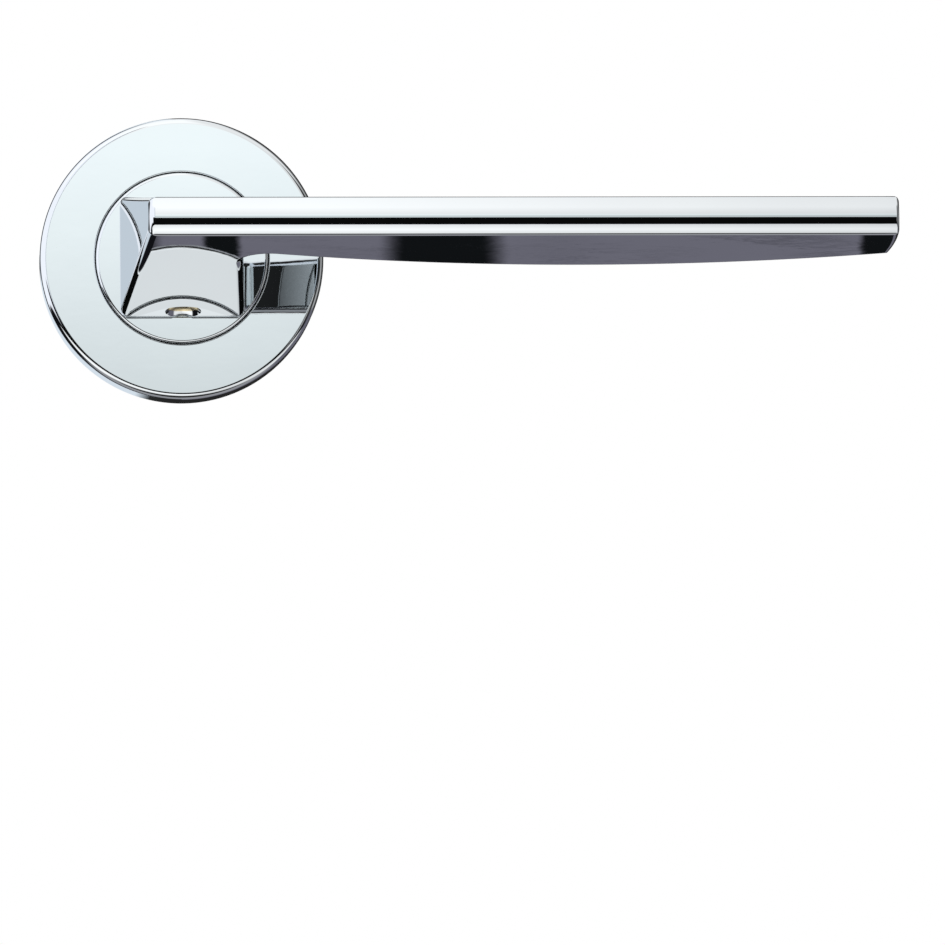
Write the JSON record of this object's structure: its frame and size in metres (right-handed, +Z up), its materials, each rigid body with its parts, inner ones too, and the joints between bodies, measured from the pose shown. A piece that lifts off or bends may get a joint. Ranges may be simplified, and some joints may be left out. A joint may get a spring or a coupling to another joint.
{
  "type": "door lever handle",
  "caption": "Door lever handle on a round rose: a wedge-shaped lever turns on a sprung base plate under a plain push-on cover, and takes a square spindle.",
  "frame": {"origin": "on the spindle's axis, at the door's face, which is the plane of the rose's back", "axes": "+Z up, +Y into the door along the spindle, +X along the lever from the spindle to its tip"},
  "size_m": [0.1506, 0.0661, 0.052],
  "materials": {
    "polished_chrome": "bright chrome plate, mirror polished, over a brass casting",
    "cast_zinc": "bare die-cast zinc alloy, dull grey",
    "zinc_plated_steel": "pressed or turned steel, bright zinc plated",
    "spring_steel": "oiled spring steel",
    "screw_steel": "hardened steel set screw, dark oxide",
    "acetal": "white acetal bearing plastic"
  },
  "bodies": {
    "rose": {"base_plate": "cast_zinc", "bearing_bush": "acetal", "return_spring": "spring_steel", "spring_cover": "zinc_plated_steel", "cover_screw_1": "zinc_plated_steel", "cover_screw_2": "zinc_plated_steel", "cover_screw_3": "zinc_plated_steel"},
    "cover": {"rose_cover": "polished_chrome"},
    "lever": {"lever": "polished_chrome", "set_screw": "screw_steel", "spring_driver": "zinc_plated_steel", "wave_washer": "spring_steel", "back_washer": "zinc_plated_steel", "retaining_ring": "spring_steel"}
  },
  "joints": [
    {"name": "lever_turn", "type": "hinge", "parent": "rose", "child": "lever", "pos_m": [0, 0, 0], "axis": [0, 1, 0], "range_deg": [0, 45], "stiffness_Nm_per_rad": 0.4, "springref_deg": -51.57, "deforming": ["return_spring"]},
    {"name": "cover_slide", "type": "slide", "parent": "rose", "child": "cover", "axis": [0, -1, 0], "range_m": [0, 0.03]}
  ]
}
